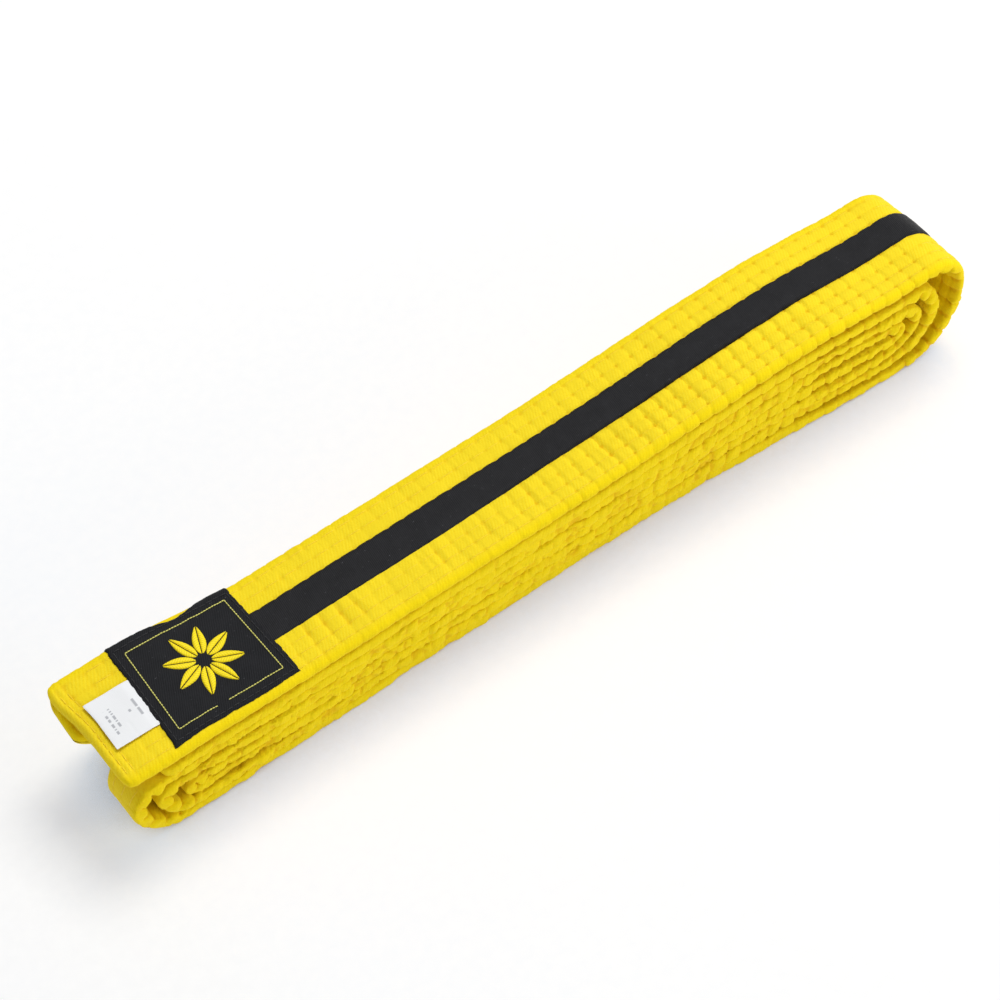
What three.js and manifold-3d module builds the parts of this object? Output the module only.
// A quilted martial arts belt, doubled and folded flat into a bundle of eight runs.
// Millimetres, +X along the bundle from the two loose tips to the outer fold, +Z up.
// The strip is one sewn sandwich: a cotton cover folded round two core plies, a satin
// stripe let into its face, and lengthwise rows of stitching. It is split into nodes only
// where it folds and where the two loose ends lift.

import * as THREE from 'three';
import { mergeVertices } from 'three/addons/utils/BufferGeometryUtils.js';
import Module from 'manifold-3d';

const wasm = await Module();
wasm.setup();

// ---- Driving dimensions -------------------------------------------------------------

const BELT_WIDTH = 40;
const BELT_THICKNESS = 4.3;
const EDGE_CHAMFER = 1.3;
const COVER_WALL = 0.8;
const RUN_COUNT = 8;

// The bundle is pressed tight at the tips and looser towards the outer fold.
const PITCH_AT_TIPS = 4.65;
const PITCH_AT_OUTER_FOLD = 5.75;
const PITCH_STATION_TIPS = -150;
const PITCH_STATION_FOLD = 150;

// Each loose end runs from its tip to the place where it bends as it is lifted.
const TOP_TIP_X = -158;
const TOP_LIFT_X = 112;
const INNER_TIP_X = -151;
const INNER_LIFT_X = 106;

const SPLIT_GAP = 0.3;
const PLY_GAP = 0.3;
const PLY_THICKNESS = 0.9;
const PLY_WIDTH = 37.2;
const CAVITY_WIDTH = 38;
const SLIT_WIDTH = 1.2;

const STRIPE_WIDTH = 11.3;
const STRIPE_OFFSET_Y = 1.8;
const STRIPE_START_X = -124;
const STRIPE_CHANNEL_WIDTH = 13.8;
const CHANNEL_DEPTH = 0.6;
const TAPE_THICKNESS = 0.3;

const THREAD_WIDTH = 0.6;
const STRIPE_STITCH_FROM_CENTRE = 6.35;
const EDGE_STITCH_Y = 16.5;
const EDGE_CHANNEL_WIDTH = 1.3;
const EDGE_STITCH_START_FROM_TIP = 3.6;

const TIP_STITCH_FROM_TIP = 1.3;
const TIP_STITCH_LENGTH = 1.6;
const TIP_STITCH_WIDTH = 33;
const TIP_STITCH_BAR = 0.45;
const TIP_GROOVE_MARGIN = 0.2;

const PATCH_START_X = -138.4;
const PATCH_LENGTH = 40.4;
const PATCH_WIDTH = 38.6;
const PATCH_CENTRE_Y = 0.7;
const PATCH_THICKNESS = 0.6;
const PATCH_CORNER_RADIUS = 1.2;
const PATCH_CORNER_STEPS = 3;
const PATCH_CLEARANCE = 0.1;
const PATCH_SEAM_INSET = 1.1;
const BORDER_LENGTH = 34.6;
const BORDER_WIDTH = 28.6;
const BORDER_START_FROM_PATCH = 3.9;
const BORDER_CENTRE_Y = 1;
const EMBROIDERY_THICKNESS = 0.4;
const EMBROIDERY_CLEARANCE = 0.05;
const RING_CORNER_STEPS = 2;
const RING_INNER_CORNER_SHARE = 0.25;
const EMBLEM_OUTER_RADIUS = 11.5;
const EMBLEM_INNER_RADIUS = 4.6;
const EMBLEM_PETALS = 8;
const EMBLEM_STEPS_PER_PETAL = 8;

const LABEL_LENGTH = 15.4;
const LABEL_WIDTH = 17;
const LABEL_CENTRE_Y = -0.8;
const LABEL_THICKNESS = 0.3;
const LABEL_CLEARANCE = 0.1;
const LABEL_CORNER_RADIUS = 0.1;
const LABEL_CORNER_STEPS = 1;
const LABEL_HINGE_GAP = 0.3;

const FOLD_STEPS = 8;
const CUTTER_OVERRUN = 2;
const CUTTER_RISE = 0.1;
const MERGE_TOLERANCE = 1e-5;

// The folds in the order in which the strip passes through them. Each joins the end of one
// run to the start of the next; reach is the length of the curve's handle at each end, so
// the longer upper handle makes the fold lean out at its top.
const FOLDS = [
  {
    name: 'cover_fold_outer', side: 1, from: 1, to: 8,
    fromX: 147, toX: 141, fromReach: 20, toReach: 28,
  },
  {
    name: 'cover_fold_tip_outer', side: -1, from: 8, to: 3,
    fromX: -139, toX: -149, fromReach: 18, toReach: 13,
  },
  {
    name: 'cover_fold_third', side: 1, from: 3, to: 6,
    fromX: 134, toX: 130, fromReach: 13, toReach: 17,
  },
  {
    name: 'cover_fold_tip_inner', side: -1, from: 6, to: 5,
    fromX: -136, toX: -136, fromReach: 3.3, toReach: 3.3,
  },
  {
    name: 'cover_fold_fourth', side: 1, from: 5, to: 4,
    fromX: 133.5, toX: 133.5, fromReach: 4, toReach: 4,
  },
  {
    name: 'cover_fold_tip_middle', side: -1, from: 4, to: 7,
    fromX: -143.5, toX: -136.5, fromReach: 9, toReach: 10.5,
  },
  {
    name: 'cover_fold_second', side: 1, from: 7, to: 2,
    fromX: 132, toX: 139, fromReach: 23, toReach: 15.5,
  },
];

// ---- Materials ----------------------------------------------------------------------

const yellowCloth = { color: 0xf7dc14, roughness: 0.85, metalness: 0 };
const paleThread = { color: 0xe9e27a, roughness: 0.7, metalness: 0 };
const batting = { color: 0xf2efe2, roughness: 0.95, metalness: 0 };
const blackSatin = { color: 0x1f2024, roughness: 0.55, metalness: 0 };
const whiteTape = { color: 0xf6f6f4, roughness: 0.6, metalness: 0 };

// ---- The strip's path ---------------------------------------------------------------

function runCentre(run, x) {
  const share = (x - PITCH_STATION_TIPS) / (PITCH_STATION_FOLD - PITCH_STATION_TIPS);
  const pitch = PITCH_AT_TIPS + share * (PITCH_AT_OUTER_FOLD - PITCH_AT_TIPS);
  return BELT_THICKNESS / 2 + (RUN_COUNT - run) * pitch;
}

function runSlope(run) {
  return runCentre(run, 1) - runCentre(run, 0);
}

// A station is a point of the strip's centre line with its heading, in the XZ plane. The
// face of the strip, which carries the stripe, is on the left of the heading.
function station(x, z, headingX, headingZ) {
  const length = Math.hypot(headingX, headingZ);
  const heading = { x: headingX / length, z: headingZ / length };
  return { x, z, heading, face: { x: -heading.z, z: heading.x } };
}

function runStation(run, x, direction) {
  return station(x, runCentre(run, x), direction, direction * runSlope(run));
}

function foldStations(fold) {
  const start = new THREE.Vector2(fold.fromX, runCentre(fold.from, fold.fromX));
  const end = new THREE.Vector2(fold.toX, runCentre(fold.to, fold.toX));
  const startDirection = new THREE.Vector2(fold.side, fold.side * runSlope(fold.from)).normalize();
  const endDirection = new THREE.Vector2(fold.side, fold.side * runSlope(fold.to)).normalize();
  const startHandle = start.clone().addScaledVector(startDirection, fold.fromReach);
  const endHandle = end.clone().addScaledVector(endDirection, fold.toReach);
  const curve = new THREE.CubicBezierCurve(start, startHandle, endHandle, end);
  const stations = [];
  for (let step = 0; step <= FOLD_STEPS; step += 1) {
    const point = curve.getPointAt(step / FOLD_STEPS);
    const tangent = curve.getTangentAt(step / FOLD_STEPS);
    stations.push(station(point.x, point.y, tangent.x, tangent.y));
  }
  return stations;
}

function extended(stations, startOverrun, endOverrun) {
  const first = stations[0];
  const last = stations[stations.length - 1];
  const result = stations.slice();
  if (startOverrun > 0) {
    const x = first.x - first.heading.x * startOverrun;
    const z = first.z - first.heading.z * startOverrun;
    result.unshift(station(x, z, first.heading.x, first.heading.z));
  }
  if (endOverrun > 0) {
    const x = last.x + last.heading.x * endOverrun;
    const z = last.z + last.heading.z * endOverrun;
    result.push(station(x, z, last.heading.x, last.heading.z));
  }
  return result;
}

// ---- Solids -------------------------------------------------------------------------

function rectangle(fromY, toY, fromDepth, toDepth) {
  return [[fromY, fromDepth], [toY, fromDepth], [toY, toDepth], [fromY, toDepth]];
}

function band(middle, width, fromDepth, toDepth) {
  return rectangle(middle - width / 2, middle + width / 2, fromDepth, toDepth);
}

function chamferedSection() {
  const halfWidth = BELT_WIDTH / 2;
  const halfThickness = BELT_THICKNESS / 2;
  const flatWidth = halfWidth - EDGE_CHAMFER;
  const flatThickness = halfThickness - EDGE_CHAMFER;
  return [
    [-flatWidth, -halfThickness], [flatWidth, -halfThickness],
    [halfWidth, -flatThickness], [halfWidth, flatThickness],
    [flatWidth, halfThickness], [-flatWidth, halfThickness],
    [-halfWidth, flatThickness], [-halfWidth, -flatThickness],
  ];
}

function loft(stations, section) {
  const count = section.length;
  const positions = [];
  for (const place of stations) {
    for (const [across, depth] of section) {
      positions.push(place.x + depth * place.face.x, across, place.z + depth * place.face.z);
    }
  }
  const indices = [];
  for (let ring = 0; ring + 1 < stations.length; ring += 1) {
    for (let corner = 0; corner < count; corner += 1) {
      const next = (corner + 1) % count;
      const a = ring * count + corner;
      const b = ring * count + next;
      indices.push(a, b, b + count, a, b + count, a + count);
    }
  }
  const outline = section.map(([across, depth]) => new THREE.Vector2(across, depth));
  const lastRing = (stations.length - 1) * count;
  for (const [a, b, c] of THREE.ShapeUtils.triangulateShape(outline, [])) {
    indices.push(a, c, b, lastRing + a, lastRing + b, lastRing + c);
  }
  const geometry = new THREE.BufferGeometry();
  geometry.setAttribute('position', new THREE.Float32BufferAttribute(positions, 3));
  geometry.setIndex(indices);
  return facingOut(geometry);
}

function signedVolume(geometry) {
  const points = geometry.getAttribute('position');
  const index = geometry.getIndex();
  const corners = [new THREE.Vector3(), new THREE.Vector3(), new THREE.Vector3()];
  let volume = 0;
  for (let face = 0; face < index.count; face += 3) {
    corners.forEach((corner, place) => corner.fromBufferAttribute(points, index.getX(face + place)));
    volume += corners[0].dot(corners[1].clone().cross(corners[2])) / 6;
  }
  return volume;
}

function facingOut(geometry) {
  if (signedVolume(geometry) >= 0) {
    return geometry;
  }
  const index = geometry.getIndex();
  for (let face = 0; face < index.count; face += 3) {
    const swapped = index.getX(face + 1);
    index.setX(face + 1, index.getX(face + 2));
    index.setX(face + 2, swapped);
  }
  return geometry;
}

function toManifold(geometry) {
  const bare = geometry.clone();
  bare.deleteAttribute('normal');
  bare.deleteAttribute('uv');
  const merged = mergeVertices(bare, MERGE_TOLERANCE);
  return new wasm.Manifold(new wasm.Mesh({
    numProp: 3,
    vertProperties: new Float32Array(merged.getAttribute('position').array),
    triVerts: new Uint32Array(merged.getIndex().array),
  }));
}

function fromManifold(solid) {
  const mesh = solid.getMesh();
  const geometry = new THREE.BufferGeometry();
  geometry.setAttribute('position', new THREE.BufferAttribute(new Float32Array(mesh.vertProperties), 3));
  geometry.setIndex(new THREE.BufferAttribute(new Uint32Array(mesh.triVerts), 1));
  return geometry;
}

function cut(body, cutters) {
  let solid = toManifold(body);
  for (const cutter of cutters) {
    solid = solid.subtract(toManifold(cutter));
  }
  return fromManifold(solid);
}

// ---- Sections of the strip ----------------------------------------------------------

const FACE = BELT_THICKNESS / 2;
const CAVITY_DEPTH = FACE - COVER_WALL;
const CHANNEL_FLOOR = FACE - CHANNEL_DEPTH;
const TAPE_FLOOR = FACE - TAPE_THICKNESS;
const ABOVE_FACE = FACE + CUTTER_RISE;

const cavitySection = band(0, CAVITY_WIDTH, -CAVITY_DEPTH, CAVITY_DEPTH);
const slitSection = band(0, SLIT_WIDTH, -ABOVE_FACE, 0);
const stripeChannel = band(STRIPE_OFFSET_Y, STRIPE_CHANNEL_WIDTH, CHANNEL_FLOOR, ABOVE_FACE);
const stripeSection = band(STRIPE_OFFSET_Y, STRIPE_WIDTH, TAPE_FLOOR, FACE);

function edgeChannel(sign) {
  return band(sign * EDGE_STITCH_Y, EDGE_CHANNEL_WIDTH, CHANNEL_FLOOR, ABOVE_FACE);
}

function threadSection(middle) {
  return band(middle, THREAD_WIDTH, TAPE_FLOOR, FACE);
}

const PLY_NEAR = PLY_GAP / 2;
const PLY_FAR = PLY_NEAR + PLY_THICKNESS;
const STRIPE_STITCH_NEAR_Y = STRIPE_OFFSET_Y - STRIPE_STITCH_FROM_CENTRE;
const STRIPE_STITCH_FAR_Y = STRIPE_OFFSET_Y + STRIPE_STITCH_FROM_CENTRE;

// What runs along the strip besides its cover. The pieces of the stripe start where the
// stripe does, and the others start their own inset from a tip.
const stripContents = [
  {
    name: 'core_ply_face', section: band(0, PLY_WIDTH, PLY_NEAR, PLY_FAR),
    look: batting, tipInset: COVER_WALL + PLY_GAP,
  },
  {
    name: 'core_ply_back', section: band(0, PLY_WIDTH, -PLY_FAR, -PLY_NEAR),
    look: batting, tipInset: COVER_WALL + PLY_GAP,
  },
  { name: 'stripe', section: stripeSection, look: blackSatin, stripe: true },
  {
    name: 'stripe_stitch_near', section: threadSection(STRIPE_STITCH_NEAR_Y),
    look: paleThread, stripe: true,
  },
  {
    name: 'stripe_stitch_far', section: threadSection(STRIPE_STITCH_FAR_Y),
    look: paleThread, stripe: true,
  },
  {
    name: 'edge_stitch_near', section: threadSection(-EDGE_STITCH_Y),
    look: paleThread, tipInset: EDGE_STITCH_START_FROM_TIP,
  },
  {
    name: 'edge_stitch_far', section: threadSection(EDGE_STITCH_Y),
    look: paleThread, tipInset: EDGE_STITCH_START_FROM_TIP,
  },
];

// ---- Building the nodes -------------------------------------------------------------

const belt = new THREE.Group();

function add(name, geometry, look) {
  const mesh = new THREE.Mesh(geometry, new THREE.MeshStandardMaterial(look));
  mesh.name = name;
  belt.add(mesh);
  return mesh;
}

// The cover of a stretch that folds or lies between two folds is an open sleeve.
function sleeve(stations) {
  const cutterPath = extended(stations, CUTTER_OVERRUN, CUTTER_OVERRUN);
  const cutters = [cavitySection, slitSection, stripeChannel, edgeChannel(-1), edgeChannel(1)];
  return cut(loft(stations, chamferedSection()), cutters.map((section) => loft(cutterPath, section)));
}

// A loose end runs from its closed tip to the place that it lifts about. The top end is
// walked from its tip and the inner end towards its tip, as the strip passes through them.
function endStations(end, fromTip) {
  const direction = end.walkedFromTip ? 1 : -1;
  const tipStation = runStation(end.run, end.tipX + fromTip, direction);
  const liftStation = runStation(end.run, end.liftX - SPLIT_GAP, direction);
  return end.walkedFromTip ? [tipStation, liftStation] : [liftStation, tipStation];
}

// The stitching round the closed tip, as a flat frame of thread.
function tipStitchGeometry(end, margin, fromDepth, toDepth) {
  const direction = end.walkedFromTip ? 1 : -1;
  const nearTip = end.tipX + TIP_STITCH_FROM_TIP;
  const block = (grow, fromHeight, toHeight) => {
    const from = runStation(end.run, nearTip - grow, direction);
    const to = runStation(end.run, nearTip + TIP_STITCH_LENGTH + grow, direction);
    return loft([from, to], band(0, TIP_STITCH_WIDTH + 2 * grow, fromHeight, toHeight));
  };
  const outer = block(margin, fromDepth, toDepth);
  const hole = block(-TIP_STITCH_BAR - margin, fromDepth - CUTTER_OVERRUN, toDepth + CUTTER_OVERRUN);
  return cut(outer, [hole]);
}

function endCover(end) {
  const whole = endStations(end, 0);
  const before = end.walkedFromTip ? 0 : CUTTER_OVERRUN;
  const after = end.walkedFromTip ? CUTTER_OVERRUN : 0;
  const inside = extended(endStations(end, COVER_WALL), before, after);
  const edgeRows = extended(endStations(end, EDGE_STITCH_START_FROM_TIP - PLY_GAP), before, after);
  const stripeRun = extended(endStations(end, end.stripeFromTip - PLY_GAP), before, after);
  return cut(loft(whole, chamferedSection()), [
    loft(inside, cavitySection),
    loft(inside, slitSection),
    loft(stripeRun, stripeChannel),
    loft(edgeRows, edgeChannel(-1)),
    loft(edgeRows, edgeChannel(1)),
    tipStitchGeometry(end, TIP_GROOVE_MARGIN, CHANNEL_FLOOR, ABOVE_FACE),
  ]);
}

function looseEnd(end) {
  add(`cover_${end.name}`, endCover(end), yellowCloth);
  for (const content of stripContents) {
    const fromTip = content.stripe ? end.stripeFromTip : content.tipInset;
    add(`${content.name}_${end.name}`, loft(endStations(end, fromTip), content.section), content.look);
  }
  add(`tip_stitch_${end.name}`, tipStitchGeometry(end, 0, TAPE_FLOOR, FACE), paleThread);
}

const topEnd = {
  name: 'top_end', run: 1, tipX: TOP_TIP_X, liftX: TOP_LIFT_X, walkedFromTip: true,
  stripeFromTip: STRIPE_START_X - TOP_TIP_X,
};
const innerEnd = {
  name: 'inner_end', run: 2, tipX: INNER_TIP_X, liftX: INNER_LIFT_X, walkedFromTip: false,
  stripeFromTip: EDGE_STITCH_START_FROM_TIP,
};

// The cover of one run between two folds, or between a fold and a loose end.
function runCover(run, fromX, toX) {
  const direction = Math.sign(toX - fromX);
  const stations = [
    runStation(run, fromX + direction * SPLIT_GAP, direction),
    runStation(run, toX - direction * SPLIT_GAP, direction),
  ];
  add(`cover_run_${run}`, sleeve(stations), yellowCloth);
}

function woundStrip() {
  const path = [runStation(topEnd.run, TOP_LIFT_X, 1)];
  let fromX = TOP_LIFT_X - SPLIT_GAP;
  for (const fold of FOLDS) {
    runCover(fold.from, fromX, fold.fromX);
    const stations = foldStations(fold);
    add(fold.name, sleeve(stations), yellowCloth);
    path.push(...stations);
    fromX = fold.toX;
  }
  runCover(innerEnd.run, fromX, INNER_LIFT_X - SPLIT_GAP);
  path.push(runStation(innerEnd.run, INNER_LIFT_X, -1));
  for (const content of stripContents) {
    add(`${content.name}_wound`, loft(path, content.section), content.look);
  }
}

// ---- What is sewn on the top end ----------------------------------------------------

const topSlope = runSlope(topEnd.run);

// Places a flat piece, drawn with its length along X and its width along Y, on the face of
// the top end. The height is measured from that face.
function onTopFace(geometry, x, y, height) {
  const place = runStation(topEnd.run, x, 1);
  const lift = FACE + height;
  const matrix = new THREE.Matrix4().makeRotationY(-Math.atan(topSlope));
  matrix.setPosition(place.x + lift * place.face.x, y, place.z + lift * place.face.z);
  return geometry.applyMatrix4(matrix);
}

function plate(outline, holes, thickness) {
  const shape = new THREE.Shape(outline);
  shape.holes = holes.map((hole) => new THREE.Path(hole));
  const geometry = new THREE.ExtrudeGeometry(shape, { depth: thickness, bevelEnabled: false, steps: 1 });
  geometry.deleteAttribute('normal');
  geometry.deleteAttribute('uv');
  return mergeVertices(geometry, MERGE_TOLERANCE);
}

function roundedOutline(length, width, radius, cornerSteps) {
  const points = [];
  const corners = [[1, 1, 0], [-1, 1, 1], [-1, -1, 2], [1, -1, 3]];
  for (const [signX, signY, quarter] of corners) {
    const centreX = signX * (length / 2 - radius);
    const centreY = signY * (width / 2 - radius);
    for (let step = 0; step <= cornerSteps; step += 1) {
      const angle = (quarter + step / cornerSteps) * Math.PI / 2;
      points.push(new THREE.Vector2(centreX + radius * Math.cos(angle), centreY + radius * Math.sin(angle)));
    }
  }
  return points;
}

function ring(length, width, bandWidth, thickness) {
  const outer = roundedOutline(length, width, bandWidth, RING_CORNER_STEPS);
  const inner = roundedOutline(
    length - 2 * bandWidth, width - 2 * bandWidth, bandWidth * RING_INNER_CORNER_SHARE, RING_CORNER_STEPS,
  );
  return plate(outer, [inner.reverse()], thickness);
}

function rosetteOutline() {
  const points = [];
  const steps = EMBLEM_PETALS * EMBLEM_STEPS_PER_PETAL;
  for (let step = 0; step < steps; step += 1) {
    const angle = step / steps * Math.PI * 2;
    const petal = Math.abs(Math.cos(angle * EMBLEM_PETALS / 2));
    const radius = EMBLEM_INNER_RADIUS + (EMBLEM_OUTER_RADIUS - EMBLEM_INNER_RADIUS) * petal;
    points.push(new THREE.Vector2(radius * Math.cos(angle), radius * Math.sin(angle)));
  }
  return points;
}

function patchAndLabel() {
  const patchX = PATCH_START_X + PATCH_LENGTH / 2;
  const patchTop = PATCH_CLEARANCE + PATCH_THICKNESS;
  const embroideryBase = patchTop + EMBROIDERY_CLEARANCE;
  const patchOutline = roundedOutline(PATCH_LENGTH, PATCH_WIDTH, PATCH_CORNER_RADIUS, PATCH_CORNER_STEPS);
  const patch = plate(patchOutline, [], PATCH_THICKNESS);
  add('patch', onTopFace(patch, patchX, PATCH_CENTRE_Y, PATCH_CLEARANCE), blackSatin);

  const seamLength = PATCH_LENGTH - 2 * PATCH_SEAM_INSET;
  const seamWidth = PATCH_WIDTH - 2 * PATCH_SEAM_INSET;
  const seam = ring(seamLength, seamWidth, THREAD_WIDTH, EMBROIDERY_THICKNESS);
  add('patch_seam', onTopFace(seam, patchX, PATCH_CENTRE_Y, embroideryBase), blackSatin);

  const borderX = PATCH_START_X + BORDER_START_FROM_PATCH + BORDER_LENGTH / 2;
  const border = ring(BORDER_LENGTH, BORDER_WIDTH, THREAD_WIDTH, EMBROIDERY_THICKNESS);
  add('patch_border', onTopFace(border, borderX, BORDER_CENTRE_Y, embroideryBase), paleThread);

  const emblem = plate(rosetteOutline(), [], EMBROIDERY_THICKNESS);
  add('patch_emblem', onTopFace(emblem, borderX, BORDER_CENTRE_Y, embroideryBase), yellowCloth);

  const labelX = PATCH_START_X - LABEL_HINGE_GAP - LABEL_LENGTH / 2;
  const labelOutline = roundedOutline(LABEL_LENGTH, LABEL_WIDTH, LABEL_CORNER_RADIUS, LABEL_CORNER_STEPS);
  const label = plate(labelOutline, [], LABEL_THICKNESS);
  add('size_label', onTopFace(label, labelX, LABEL_CENTRE_Y, LABEL_CLEARANCE), whiteTape);
}

looseEnd(topEnd);
looseEnd(innerEnd);
woundStrip();
patchAndLabel();

// The origin is the middle of the bundle's underside.
const bounds = new THREE.Box3().setFromObject(belt);
belt.position.x = -(bounds.min.x + bounds.max.x) / 2;

export default belt;
